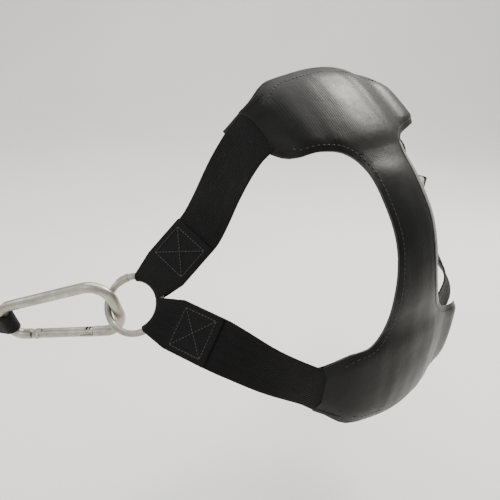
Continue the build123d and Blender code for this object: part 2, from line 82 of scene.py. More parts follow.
lamps = (("key", (0.15, 1.20, 1.25), (0.20, 0.05, 0.15), 0.5, 30, (1.0, 0.95, 0.88)),
         ("top", (-0.60, 0.60, 2.60), (-0.3, 0.3, -0.3), 3.2, 95, (1.0, 0.99, 0.97)),
         ("fill", (0.60, -2.20, 1.10), (0.10, -0.1, 0.05), 1.6, 12, (0.95, 0.97, 1.0)),
         ("side", (-1.30, -1.30, 0.70), (0.00, -0.25, 0.02), 0.9, 8, (1.0, 1.0, 1.0)))
for lamp_name, place, target, size, power, tint in lamps:
    bpy.ops.object.light_add(type="AREA", location=place)
    lamp = bpy.context.object
    lamp.name = f"{lamp_name}_light"
    lamp.rotation_euler = (Vector(target) - Vector(place)).to_track_quat("-Z", "Y").to_euler()
    lamp.data.size = size
    lamp.data.energy = power
    lamp.data.color = tint

world = bpy.data.worlds.new("studio")
world.use_nodes = True
world.node_tree.nodes["Background"].inputs["Color"].default_value = (0.90, 0.90, 0.89, 1)
world.node_tree.nodes["Background"].inputs["Strength"].default_value = 0.70
bpy.context.scene.world = world


def colour(code):
    """Linear colour of an sRGB hex code."""
    channels = [int(code[i:i + 2], 16) / 255 for i in (1, 3, 5)]
    return [c / 12.92 if c <= 0.04045 else ((c + 0.055) / 1.055) ** 2.4 for c in channels] + [1]


def new_material(name):
    """An empty material with its shader: (material, shader)."""
    material = bpy.data.materials.new(name)
    material.use_nodes = True
    return material, material.node_tree.nodes["Principled BSDF"]


def node(shader, kind, settings=None, **inputs):
    """Adds a node beside the shader. An input is a value or another node's output socket."""
    tree = shader.id_data
    added = tree.nodes.new(kind)
    for name, value in (settings or {}).items():
        setattr(added, name, value)
    for name, value in inputs.items():
        place = int(name[1:]) if name[0] == "_" and name[1:].isdigit() else name.replace("_", " ")
        if isinstance(value, bpy.types.NodeSocket):
            tree.links.new(value, added.inputs[place])
        else:
            added.inputs[place].default_value = value
    return added


def ramp(shader, factor, *stops):
    """A colour ramp: each stop is (position, hex code)."""
    added = node(shader, "ShaderNodeValToRGB", Fac=factor)
    elements = added.color_ramp.elements
    while len(elements) < len(stops):
        elements.new(0.5)
    for element, (position, code) in zip(elements, stops):
        element.position = position
        element.color = colour(code)
    return added.outputs["Color"]


def wire_to(shader, name, socket):
    """Leads an output into one of the shader's inputs."""
    shader.id_data.links.new(socket, shader.inputs[name])


# Painted studio floor: matt, pale, faintly mottled.
paint, shader = new_material("matt_floor_paint")
shader.inputs["Roughness"].default_value = 0.85
place = node(shader, "ShaderNodeTexCoord").outputs["Object"]
mottle = node(shader, "ShaderNodeTexNoise", Vector=place, Scale=1.5, Detail=3.0).outputs["Fac"]
wire_to(shader, "Base Color", ramp(shader, mottle, (0.3, "#ecebe8"), (0.7, "#f2f1ee")))
floor.data.materials.append(paint)

# ---------------------------------------------------------------- shape of the worn cover
# The cover lies on the tread of a 190/50 ZR 17 tyre and is pulled tight over its shoulders. Its
# centre strip stands a little off the tread, as stiff coated fabric does between two tight bands.
worn_tilt = radians(21.4)
tread_radius = 0.3155
crown_radius = 0.200
crown_angle = radians(20.4)
shoulder_radius = 0.042
strip_lift = 0.015
strip_radius = 0.160
strip_end = radians(20)
band_outer_angle = radians(40.3)
band_angle = radians(33)
left_wrap, right_wrap, right_panel_wrap = radians(62), radians(45), radians(21)
liner_droop = radians(5)

outward = Vector((cos(worn_tilt), 0, sin(worn_tilt)))
across = Vector((0, 1, 0))
upward = Vector((-sin(worn_tilt), 0, cos(worn_tilt)))


def tread_section(length, level, turns):
    """Across and depth of a point of the section: signed length from the middle, height."""
    side = -1 if length < 0 else 1
    turn = turns[0] if length < 0 else turns[1]
    rest = abs(length) - crown_radius * crown_angle
    if rest <= 0:
        angle = abs(length) / crown_radius
        y, drop = crown_radius * sin(angle), crown_radius * (1 - cos(angle))
    else:
        angle = min(turn, crown_angle + rest / shoulder_radius)
        tail = rest - shoulder_radius * (angle - crown_angle)
        y = crown_radius * sin(crown_angle) + shoulder_radius * (sin(angle) - sin(crown_angle))
        drop = crown_radius * (1 - cos(crown_angle))
        drop += shoulder_radius * (cos(crown_angle) - cos(angle))
        y, drop = y + tail * cos(angle), drop + tail * sin(angle)
    return side * (y + level * sin(angle)), -drop + level * cos(angle), side * angle


def solve(rising, target, low, high):
    """Argument at which a rising function takes the target value."""
    halvings = 28
    for _ in range(halvings):
        middle = (low + high) / 2
        low, high = (middle, high) if rising(middle) < target else (low, middle)
    return (low + high) / 2


bulge_centre = tread_radius + strip_lift - strip_radius
reach_top = strip_radius**2 - tread_radius**2 - bulge_centre**2
reach_top += 2 * bulge_centre * tread_radius * cos(strip_end)
blend_radius = reach_top / (2 * (tread_radius - bulge_centre * cos(strip_end) - strip_radius))
blend_centre = [(tread_radius + blend_radius) * f(strip_end) for f in (cos, sin)]
bulge_angle = atan2(blend_centre[1], blend_centre[0] - bulge_centre)


def strip_line(angle):
    """Side view of the cover by its surface's angle: outward and upward place, and normal."""
    if angle <= bulge_angle:
        normal = (cos(angle), sin(angle))
        return bulge_centre + strip_radius * normal[0], strip_radius * normal[1], normal
    if angle <= bulge_angle + (bulge_angle - strip_end):
        turn = 2 * bulge_angle - angle
        normal = (cos(turn), sin(turn))
        return (blend_centre[0] - blend_radius * normal[0],
                blend_centre[1] - blend_radius * normal[1], normal)
    turn = angle - 2 * (bulge_angle - strip_end)
    return tread_radius * cos(turn), tread_radius * sin(turn), (cos(turn), sin(turn))


def on_cover(y, z, level, turns):
    """Point of the worn cover that shows at (y, z) in front view, with its surface normal."""
    length = solve(lambda s: tread_section(s, level, turns)[0], y, -0.2, 0.2)
    _, height, lean = tread_section(length, level, turns)
    sign = -1 if z < 0 else 1

    def risen(angle):
        _, up, normal = strip_line(angle)
        return up + normal[1] * height

    angle = solve(risen, abs(z), 0.0, 1.2)
    out, up, normal = strip_line(angle)
    radial = outward * normal[0] + upward * (sign * normal[1])
    point = outward * (out + normal[0] * height) + across * y
    point += upward * (sign * (up + normal[1] * height))
    return point, (radial * cos(lean) + across * sin(lean)).normalized()


# ---------------------------------------------------------------- cut of the cover
# An H of PVC-coated polyester, in front view as worn. The side notches are uneven because the
# cover is pulled to the left. The mouths of the two sleeves are its four short ends.
mouth_left, mouth_right = -0.1015, 0.120
left_notch = [(mouth_left, 0.123), (-0.093, 0.110), (-0.072, 0.110), (-0.048, 0.102),
              (-0.035, 0.081), (-0.037, 0.040), (-0.039, -0.005), (-0.046, -0.055),
              (-0.051, -0.086), (-0.066, -0.105), (-0.088, -0.109), (mouth_left, -0.120)]
right_notch = [(mouth_right, -0.112), (0.088, -0.108), (0.060, -0.098), (0.036, -0.076),
               (0.025, -0.048), (0.027, -0.015), (0.031, 0.015), (0.034, 0.048), (0.043, 0.084),
               (0.056, 0.106), (0.084, 0.114), (mouth_right, 0.122)]


def through(points, step=0.004):
    """Even points along a smooth curve through the given ones."""
    dense = []
    count, parts = len(points), 24
    for i in range(count - 1):
        before, a = Vector(points[max(i - 1, 0)]), Vector(points[i])
        b, after = Vector(points[i + 1]), Vector(points[min(i + 2, count - 1)])
        for k in range(parts):
            t = k / parts
            dense.append(0.5 * (2 * a + (b - before) * t + (2 * before - 5 * a + 4 * b - after) * t**2
                                + (3 * a - before - 3 * b + after) * t**3))
    dense.append(Vector(points[-1]))
    return evenly(dense, step)


def evenly(line, step):
    """Points about a step apart along a polyline."""
    runs = [(b - a).length for a, b in zip(line, line[1:])]
    total = sum(runs)
    count = max(2, round(total / step))
    placed, i, gone = [line[0]], 0, 0.0
    for k in range(1, count):
        aim = total * k / count
        while i < len(runs) - 1 and gone + runs[i] < aim:
            gone += runs[i]
            i += 1
        placed.append(line[i].lerp(line[i + 1], (aim - gone) / max(runs[i], 1e-9)))
    return placed + [line[-1]]


def outer_edge(turns, overhang):
    """Outer edge of the upper band in front view, from the left mouth to the right one."""
    left, right = mouth_left - overhang, mouth_right + overhang
    spans, edge_level, corner_drop = 8, 0.004, 0.003
    points = []
    for k in range(spans + 1):
        y = left + (right - left) * k / spans
        length = solve(lambda s: tread_section(s, edge_level, turns)[0], y, -0.2, 0.2)
        height = tread_section(length, edge_level, turns)[1]
        points.append((y, (tread_radius + height) * sin(band_outer_angle)))
    points[0] = (points[0][0], points[0][1] - corner_drop)
    points[-1] = (points[-1][0], points[-1][1] - corner_drop)
    return points


def cut_lines(turns, overhang=0.0):
    """The four sewn edges of the H, each as even points: top, right, bottom and left."""
    top = outer_edge(turns, overhang)
    left = [(mouth_left - overhang, left_notch[0][1])] * (overhang > 0) + left_notch
    left += [(mouth_left - overhang, left_notch[-1][1])] * (overhang > 0)
    right = [(mouth_right + overhang, right_notch[0][1])] * (overhang > 0) + right_notch
    right += [(mouth_right + overhang, right_notch[-1][1])] * (overhang > 0)
    return [through(top), through(right[::-1]), through([(y, -z) for y, z in top[::-1]]),
            through(left[::-1])]


def edge_distance(point, lines):
    """Shortest distance from a point to the sewn edges, in front view."""
    best = 1.0
    for line in lines:
        for a, b in zip(line, line[1:]):
            run = b - a
            t = min(1.0, max(0.0, (point - a).dot(run) / max(run.length_squared, 1e-12)))
            best = min(best, (point - a - run * t).length)
    return best


def smooth(t):
    """0 to 1, level at both ends."""
    t = min(1.0, max(0.0, t))
    return t * t * (3 - 2 * t)


def cloth(name, lines, turns, level_at, thickness, hem=0.003):
    """A cut and worn layer of the cover, with its thickness, UVs in metres and a hem attribute."""
    corners = []
    for line in lines:
        corners += line
    kept = [c for c, after in zip(corners, corners[1:] + corners[:1]) if (c - after).length > 1e-5]
    sheet = bmesh.new()
    face = sheet.faces.new([sheet.verts.new((c.x, c.y, 0)) for c in kept])
    bmesh.ops.inset_region(sheet, faces=[face], thickness=hem, use_even_offset=True)
    inner = max(sheet.faces, key=lambda f: f.calc_area())
    bmesh.ops.inset_region(sheet, faces=[inner], thickness=hem, use_even_offset=True)
    bmesh.ops.triangulate(sheet, faces=[f for f in sheet.faces if len(f.verts) > 4])
    cell = 0.006
    for axis, low, high in ((0, -0.13, 0.14), (1, -0.21, 0.21)):
        for k in range(int((high - low) / cell) + 1):
            place, normal = [0.0, 0.0, 0.0], [0.0, 0.0, 0.0]
            place[axis], normal[axis] = low + cell * k, 1.0
            bmesh.ops.bisect_plane(sheet, geom=sheet.verts[:] + sheet.edges[:] + sheet.faces[:],
                                   plane_co=place, plane_no=normal, dist=1e-6)
    bmesh.ops.remove_doubles(sheet, verts=sheet.verts, dist=0.0004)
    bmesh.ops.join_triangles(sheet, faces=sheet.faces, angle_face_threshold=3,
                             angle_shape_threshold=1.2)
    uvs = sheet.loops.layers.uv.new("cloth")
    hems = sheet.verts.layers.float.new("hem")
    for face in sheet.faces:
        for corner in face.loops:
            corner[uvs].uv = (corner.vert.co.x, corner.vert.co.y)
    for vert in sheet.verts:
        flat = Vector((vert.co.x, vert.co.y))
        inside = edge_distance(flat, lines)
        vert[hems] = inside
        vert.co = on_cover(flat.x, flat.y, level_at(flat, inside), turns)[0]
    bmesh.ops.recalc_face_normals(sheet, faces=sheet.faces)
    sample = max(sheet.faces, key=lambda f: f.calc_area())
    if sample.normal.dot(outward) < 0:
        bmesh.ops.reverse_faces(sheet, faces=sheet.faces)
    mesh = bpy.data.meshes.new(name)
    sheet.to_mesh(mesh)
    sheet.free()
    piece = bpy.data.objects.new(name, mesh)
    bpy.context.collection.objects.link(piece)
    thicken(piece, thickness)
    return piece


def thicken(piece, thickness, edge=0.35):
    """Gives a sheet its wall, with rounded cut edges, and smooth shading."""
    bpy.ops.object.select_all(action="DESELECT")
    bpy.context.view_layer.objects.active = piece
    piece.select_set(True)
    wall = piece.modifiers.new("wall", "SOLIDIFY")
    wall.thickness, wall.offset = thickness, 0
    rim = piece.modifiers.new("rim", "BEVEL")
    rim.width, rim.segments, rim.limit_method = thickness * edge, 2, "ANGLE"
    rim.angle_limit = radians(55)
    for modifier in ("wall", "rim"):
        bpy.ops.object.modifier_apply(modifier=modifier)
    bpy.ops.object.shade_smooth_by_angle(angle=radians(50))
    piece.select_set(False)


# PVC-coated polyester: a woven base shows through the coating as a fine rib, the coat is
# semi-gloss and its handling has left pale scuffs. Cut edges show the lighter base cloth, a light
# edge colour that also serves as a painted highlight along the rim.
def coated_fabric(name, dark, light, roughness):
    """The cover's cloth in its own UVs and hem distance."""
    material, shader = new_material(name)
    shader.inputs["IOR"].default_value = 1.52
    shader.inputs["Specular IOR Level"].default_value = 0.17
    uv = node(shader, "ShaderNodeUVMap", {"uv_map": "cloth"}).outputs["UV"]
    place = node(shader, "ShaderNodeTexCoord").outputs["Object"]
    rib = node(shader, "ShaderNodeTexWave", {"bands_direction": "Y"}, Vector=uv, Scale=160.0,
               Distortion=0.6, Detail=1.0, Detail_Scale=8.0).outputs["Fac"]
    cross = node(shader, "ShaderNodeTexWave", {"bands_direction": "X"}, Vector=uv, Scale=110.0,
                 Distortion=0.4).outputs["Fac"]
    weave = node(shader, "ShaderNodeMath", {"operation": "MULTIPLY_ADD"}, _0=rib, _1=0.30,
                 _2=cross).outputs["Value"]
    cloud = node(shader, "ShaderNodeTexNoise", Vector=place, Scale=16.0, Detail=5.0,
                 Roughness=0.6).outputs["Fac"]
    scuff = node(shader, "ShaderNodeTexNoise", Vector=place, Scale=90.0, Detail=6.0,
                 Roughness=0.75, Distortion=0.6).outputs["Fac"]
    tone = ramp(shader, cloud, (0.30, dark), (0.72, light))
    marks = ramp(shader, scuff, (0.62, "#000000"), (0.85, "#1a1917"))
    worn = node(shader, "ShaderNodeMix", {"data_type": "RGBA", "blend_type": "ADD"}, Factor=0.5)
    shader.id_data.links.new(tone, worn.inputs[6])
    shader.id_data.links.new(marks, worn.inputs[7])
    hem = node(shader, "ShaderNodeAttribute", {"attribute_name": "hem"}).outputs["Fac"]
    # Light colour on the outermost half millimetre of every cut edge: the raw base cloth, and partly
    # a painted rim highlight.
    raw_edge_and_rim_highlight = node(shader, "ShaderNodeMapRange", Value=hem, From_Min=0.0001, From_Max=0.0005,
               To_Min=1.0, To_Max=0.0).outputs["Result"]
    edge = node(shader, "ShaderNodeMix", {"data_type": "RGBA"})
    shader.id_data.links.new(raw_edge_and_rim_highlight, edge.inputs[0])
    shader.id_data.links.new(worn.outputs[2], edge.inputs[6])
    edge.inputs[7].default_value = colour("#3e3d38")
    wire_to(shader, "Base Color", edge.outputs[2])
    gloss = node(shader, "ShaderNodeMapRange", Value=cloud, From_Min=0.3, From_Max=0.7,
                 To_Min=roughness - 0.07, To_Max=roughness + 0.09).outputs["Result"]
    wire_to(shader, "Roughness", gloss)
    fine = node(shader, "ShaderNodeBump", Strength=0.12, Distance=0.0004, Height=weave)
    crease = node(shader, "ShaderNodeTexNoise", Vector=place, Scale=42.0, Detail=4.0,
                  Roughness=0.55).outputs["Fac"]
    rough = node(shader, "ShaderNodeBump", Strength=0.35, Distance=0.0016, Height=crease,
                 Normal=fine.outputs["Normal"])
    wire_to(shader, "Normal", rough.outputs["Normal"])
    return material


# ---------------------------------------------------------------- lower layer
# The liner lies on the tread. It is cut longer than the top layer, so that a flap of it reaches
# past each sleeve's mouth and keeps the webbing off the rim.
cloth_thickness = 0.0012
liner_turns = (left_wrap + liner_droop, right_wrap + liner_droop)
liner_lines = cut_lines(liner_turns, overhang=0.0085)


def liner_level(flat, inside):
    """Height over the tread: flat on it, with a slight ripple at the loose flaps."""
    loose = smooth((abs(flat.x) - 0.085) / 0.03)
    ripple = noise.noise(Vector((flat.x * 22, flat.y * 30, 1.7)))
    return 0.0006 - 0.0012 * loose * abs(ripple)


inner_liner = cloth("liner_cloth", liner_lines, liner_turns, liner_level, cloth_thickness)
inner_liner.data.materials.append(coated_fabric("pvc_coated_polyester_back", "#0d0d0c", "#151513",
                                                0.44))
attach(inner_liner, "harness")
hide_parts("inner_liner")

# ---------------------------------------------------------------- top layer
# The same cloth. It is sewn to the liner round every edge but the sleeves' mouths, so it comes
# down to the liner at its hems and stands off over the webbings that run between the two.
panel_turns = (left_wrap, right_panel_wrap)
panel_lines = cut_lines(panel_turns)
hem_level, plain_level, sleeve_level = 0.0019, 0.0028, 0.0047
hem_run, mouth_rise, mouth_flare = 0.011, 0.0012, 0.0070
slack_depth, pull_depth = 0.0014, 0.0007


def panel_level(flat, inside):
    """Height over the tread: low at the hems, full over the webbing, flared at the right mouths."""
    rise = smooth(inside / hem_run)
    band = smooth((abs(flat.y) - 0.098) / 0.02)
    full = plain_level + (sleeve_level - plain_level) * band
    fold = noise.noise(Vector((flat.x * 16, flat.y * 24, 3.1)))
    pull = noise.noise(Vector((flat.x * 60, flat.y * 9, 7.7)))
    slack = slack_depth * rise * (0.55 + 0.45 * (1 - band))
    mouth = mouth_rise * smooth((abs(flat.x) - 0.080) / 0.03) * rise
    flare = mouth_flare * smooth((flat.x - 0.070) / 0.045)
    level = hem_level + (full - hem_level) * rise + slack * fold + pull_depth * pull * rise
    return level + mouth + flare


outer_panel = cloth("cover_cloth", panel_lines, panel_turns, panel_level, cloth_thickness)
outer_panel.data.materials.append(coated_fabric("pvc_coated_polyester_face", "#090a08", "#10110f",
                                                0.37))
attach(outer_panel, "harness")
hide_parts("outer_panel")


# ---------------------------------------------------------------- seam thread
# Bonded nylon thread, lock-stitched 7 mm inside the sewn edges. Each stitch shows as a short
# pillow that dips into the cloth at both ends.
def one_stitch(name, length, width):
    """Mesh of one stitch: a flattened capsule along X, with a few dozen faces."""
    bpy.ops.object.select_all(action="DESELECT")
    bpy.ops.mesh.primitive_uv_sphere_add(segments=6, ring_count=4, radius=0.5)
    stitch = bpy.context.object
    stitch.name = name
    bpy.ops.object.mode_set(mode="EDIT")
    bpy.ops.mesh.select_all(action="SELECT")
    bpy.ops.transform.rotate(value=pi / 2, orient_axis="Y", center_override=(0, 0, 0))
    bpy.ops.transform.resize(value=(length, width, width), center_override=(0, 0, 0))
    bpy.ops.object.mode_set(mode="OBJECT")
    mesh = stitch.data.copy()
    bpy.data.objects.remove(stitch)
    return mesh


def sewn(name, stitches, pattern):
    """One piece of thread from many stitches, each given by its middle, its way and its normal."""
    thread = bmesh.new()
    for middle, way, normal in stitches:
        side = normal.cross(way).normalized()
        top = way.cross(side).normalized()
        start = len(thread.verts)
        thread.from_mesh(pattern)
        thread.verts.ensure_lookup_table()
        for vert in thread.verts[start:]:
            x, y, z = vert.co
            vert.co = middle + way.normalized() * x + side * y + top * z
    mesh = bpy.data.meshes.new(name)
    thread.to_mesh(mesh)
    thread.free()
    mesh.polygons.foreach_set("use_smooth", [True] * len(mesh.polygons))
    piece = bpy.data.objects.new(name, mesh)
    bpy.context.collection.objects.link(piece)
    return piece


def bonded_thread(name, code):
    """Thread: twisted plies, with a wax-like bond that keeps a soft shine."""
    material, shader = new_material(name)
    place = node(shader, "ShaderNodeTexCoord").outputs["Object"]
    plies = node(shader, "ShaderNodeTexNoise", Vector=place, Scale=900.0, Detail=2.0).outputs["Fac"]
    wire_to(shader, "Base Color", ramp(shader, plies, (0.3, code), (0.8, "#161513")))
    shader.inputs["Roughness"].default_value = 0.5
    shader.inputs["Sheen Weight"].default_value = 0.25
    bump = node(shader, "ShaderNodeBump", Strength=0.5, Distance=0.0003, Height=plies)
    wire_to(shader, "Normal", bump.outputs["Normal"])
    return material


def inside_line(line, offset):
    """A line moved to its right-hand side, in front view."""
    moved = []
    for i, point in enumerate(line):
        run = line[min(i + 1, len(line) - 1)] - line[max(i - 1, 0)]
        moved.append(point + Vector((run.y, -run.x)).normalized() * offset)
    return moved


seam_offset, stitch_length, stitch_pitch, thread_width = 0.007, 0.0038, 0.0052, 0.0010
cover_stitch = one_stitch("cover_stitch", stitch_length, thread_width)
cover_stitches = []
for line in panel_lines:
    seam = evenly(inside_line(line, seam_offset), stitch_pitch)
    for a, b in zip(seam[1:-2], seam[2:-1]):
        middle = (a + b) / 2
        inside = edge_distance(middle, panel_lines)
        level = panel_level(middle, inside) + cloth_thickness / 2 + 0.0001
        here, normal = on_cover(middle.x, middle.y, level, panel_turns)
        ahead, _ = on_cover(b.x, b.y, level, panel_turns)
        cover_stitches.append((here, ahead - here, normal))
cover_seam = sewn("cover_seam_thread", cover_stitches, cover_stitch)
seam_thread = bonded_thread("bonded_nylon_thread", "#090908")
cover_seam.data.materials.append(seam_thread)
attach(cover_seam, "harness")


# ---------------------------------------------------------------- binding tape
# The right-hand edge of the centre strip is bound with woven tape, lighter than the cover. Its
# other edges are left raw.
def bound_edge(name, line, width, lift):
    """A narrow tape over the cloth along a sewn edge."""
    tape = bmesh.new()
    columns = []
    for k in range(5):
        offset = 0.0004 + width * k / 4
        row = []
        for point in inside_line(line, offset):
            inside = edge_distance(point, panel_lines)
            crown = lift * (1 - (k / 2 - 1) ** 4 * 0.6)
            level = panel_level(point, inside) + cloth_thickness / 2 + crown
            row.append(tape.verts.new(on_cover(point.x, point.y, level, panel_turns)[0]))
        columns.append(row)
    for a, b in zip(columns, columns[1:]):
        for i in range(len(a) - 1):
            tape.faces.new((a[i], a[i + 1], b[i + 1], b[i]))
    bmesh.ops.recalc_face_normals(tape, faces=tape.faces)
    mesh = bpy.data.meshes.new(name)
    tape.to_mesh(mesh)
    tape.free()
    piece = bpy.data.objects.new(name, mesh)
    bpy.context.collection.objects.link(piece)
    thicken(piece, 0.0007)
    return piece


tape_cloth, shader = new_material("woven_binding_tape")
place = node(shader, "ShaderNodeTexCoord").outputs["Object"]
grain = node(shader, "ShaderNodeTexNoise", Vector=place, Scale=420.0, Detail=3.0).outputs["Fac"]
wire_to(shader, "Base Color", ramp(shader, grain, (0.3, "#34322f"), (0.7, "#5f5d56")))
shader.inputs["Roughness"].default_value = 0.7
shader.inputs["Sheen Weight"].default_value = 0.3
bump = node(shader, "ShaderNodeBump", Strength=0.6, Distance=0.0005, Height=grain)
wire_to(shader, "Normal", bump.outputs["Normal"])

far_edge = [p for p in panel_lines[1] if -0.088 < p.y < 0.100 and p.x < 0.060]
far_tape = bound_edge("far_binding_tape", far_edge, 0.0075, 0.0005)
far_tape.data.materials.append(tape_cloth)
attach(far_tape, "harness")

# ---------------------------------------------------------------- where each side's parts lie
# The two webbings of a side meet at its ring. The ring's, the hook's and the sling's places are
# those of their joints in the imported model.
webbing_width, webbing_thickness = 0.060, 0.0020
webbing_exit, webbing_level = 0.126, 0.0025
ring_radius, ring_wire = 0.034, 0.008
loop_clearance, layer_gap = 0.0003, 0.0003
loop_half_angle = 40.0
fold_back, fan_length = 0.110, 0.022
webbing_turns = (left_wrap, right_wrap)
between_layers = (webbing_thickness + layer_gap) / 2


def sleeve_row(length, above, columns):
    """Points across a webbing in its sleeve, at a signed length from the wheel's middle.

    above is 1 for the upper webbing and -1 for the lower one.
    """
    y, height, _ = tread_section(length, webbing_level, webbing_turns)
    reach = tread_radius + height
    row = []
    for w in columns:
        angle = above * band_angle + asin(w * webbing_width / 2 / reach)
        radial = outward * cos(angle) + upward * sin(angle)
        row.append(radial * reach + across * y)
    return row


class Side:
    """Places and directions of one side's ring, straps and hook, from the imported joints."""

    def __init__(self, name, sign, bow):
        self.name, self.sign, self.bow = name, sign, bow
        turn, swing = joints[f"{name}_ring_turn"], joints[f"{name}_hook_swing"]
        self.ring = Vector(turn["pos_m"])
        self.ring_inward = Vector(turn["axis"]).normalized()
        self.ring_top = Vector(swing["axis"]).normalized()
        self.pull = (Vector(swing["pos_m"]) - self.ring).normalized()
        y, height, lean = tread_section(sign * webbing_exit, webbing_level, webbing_turns)
        self.tails, self.strap_angles = [], []
        for half in (1, -1):
            angle = half * band_angle
            radial = outward * cos(angle) + upward * sin(angle)
            mouth = radial * (tread_radius + height) + across * y
            strap = mouth - self.ring
            self.tails.append(across * (sign * cos(lean)) - radial * abs(sin(lean)))
            self.strap_angles.append(degrees(atan2(strap.dot(self.ring_top),
                                                   -strap.dot(self.pull))))

    def in_ring(self, angle):
        """Direction in the ring's plane, turned from the straps towards the ring's top."""
        turn = radians(angle)
        return self.ring_top * sin(turn) - self.pull * cos(turn)


sides = [Side("left", -1, 0.003), Side("right", 1, 0.026)]


# ---------------------------------------------------------------- webbings
# Polyester webbing, 60 mm wide. Each runs through its sleeve across the tread and out to both
# rings, where it is folded round the ring and sewn back on itself.
def spread(count):
    """Even places across a width, from -1 to 1."""
    return [2 * k / (count - 1) - 1 for k in range(count)]


def loop_rows(side, half, columns):
    """Rows from the fold's sewn end, round the ring, to where the single webbing goes on."""
    angle = side.strap_angles[half]
    lead = side.in_ring(angle)
    wide = side.ring_inward.cross(lead)
    sense = 1 if half == 0 else -1
    free, shared = angle + sense * loop_half_angle, sum(side.strap_angles) / 2 + sense * 0.5
    toward = 1 if side.in_ring(free).dot(wide) > 0 else -1
    bend = ring_wire / 2 + loop_clearance + webbing_thickness / 2
    fan = ring_radius + fan_length

    def flat_row(reach, layer):
        base = side.ring + lead * reach + side.ring_inward * (layer * between_layers)
        return [base + wide * (w * webbing_width / 2) for w in columns]

    def ring_row(turn):
        row = []
        for w in columns:
            share = (w * toward + 1) / 2
            ray = side.in_ring(shared + (free - shared) * share)
            centre = side.ring + ray * ring_radius
            row.append(centre - ray * (bend * cos(turn)) + side.ring_inward * (bend * sin(turn)))
        return row

    def between(a, b, count, power=1.0):
        rows = []
        for k in range(1, count):
            t = (k / count) ** power
            rows.append([p.lerp(q, t) for p, q in zip(a, b)])
        return rows

    top_end, top_fan, low_fan = flat_row(fold_back, -1), flat_row(fan, -1), flat_row(fan, 1)
    low_end = flat_row(fold_back + 0.002, 1)
    wrap = [ring_row(radians(a)) for a in range(-104, 105, 16)]
    rows = [top_end] + between(top_end, top_fan, 12) + [top_fan]
    rows += between(top_fan, wrap[0], 5) + wrap + between(wrap[-1], low_fan, 5)
    rows += [low_fan] + between(low_fan, low_end, 12) + [low_end]
    return rows, lead


def strap_rows(side, half, start, lead, columns):
    """Rows of the single webbing from its loop to its sleeve."""
    end = sleeve_row(side.sign * webbing_exit, 1 - 2 * half, columns)
    tail = side.tails[half]
    outside = (across * side.sign + outward * 0.5).normalized()
    rows = []
    count, ease, curl_depth = 26, 0.55, 0.0045
    for k in range(1, count):
        t = k / count
        row = []
        for w, p, q in zip(columns, start, end):
            run = (q - p).length
            a, b = 2 * t**3 - 3 * t**2 + 1, t**3 - 2 * t**2 + t
            c, d = 3 * t**2 - 2 * t**3, t**3 - t**2
            point = p * a + lead * (run * ease * b) + q * c - tail * (run * ease * d)
            hump = sin(pi * t)
            curl = curl_depth * hump**2 * (w * w - 0.35) * smooth((t - 0.25) / 0.4)
            row.append(point + outside * (side.bow * hump * hump + curl))
        rows.append(row)
    return rows


def arm(side, half, columns):
    """Rows of a webbing's one end: its loop, then on to the sleeve, all across in the same sense."""
    loop, lead = loop_rows(side, half, columns)
    mouth = sleeve_row(side.sign * webbing_exit, 1 - 2 * half, columns)
    if (loop[-1][-1] - loop[-1][0]).dot(mouth[-1] - mouth[0]) < 0:
        loop = [row[::-1] for row in loop]
    return loop + strap_rows(side, half, loop[-1], lead, columns)


def ribbon(name, rows, thickness, closed=False):
    """A woven band from rows of points across it, with UVs in metres along and across."""
    band = bmesh.new()
    uvs = band.loops.layers.uv.new("weave")
    grid = [[band.verts.new(p) for p in row] for row in rows]
    middle = len(rows[0]) // 2
    along = [0.0]
    for a, b in zip(rows, rows[1:]):
        along.append(along[-1] + (b[middle] - a[middle]).length)
    side = [0.0]
    widest = max(rows, key=lambda r: sum((q - p).length for p, q in zip(r, r[1:])))
    for p, q in zip(widest, widest[1:]):
        side.append(side[-1] + (q - p).length)
    pairs = list(zip(range(len(rows) - 1), range(1, len(rows))))
    if closed:
        pairs.append((len(rows) - 1, 0))
        along.append(along[-1] + (rows[0][middle] - rows[-1][middle]).length)
    for i, j in pairs:
        for k in range(len(side) - 1):
            face = band.faces.new((grid[i][k], grid[j][k], grid[j][k + 1], grid[i][k + 1]))
            for corner, (u, v) in zip(face.loops, ((i, k), (i + 1, k), (i + 1, k + 1), (i, k + 1))):
                corner[uvs].uv = (along[u], side[v])
    mesh = bpy.data.meshes.new(name)
    band.to_mesh(mesh)
    band.free()
    piece = bpy.data.objects.new(name, mesh)
    bpy.context.collection.objects.link(piece)
    thicken(piece, thickness)
    return piece


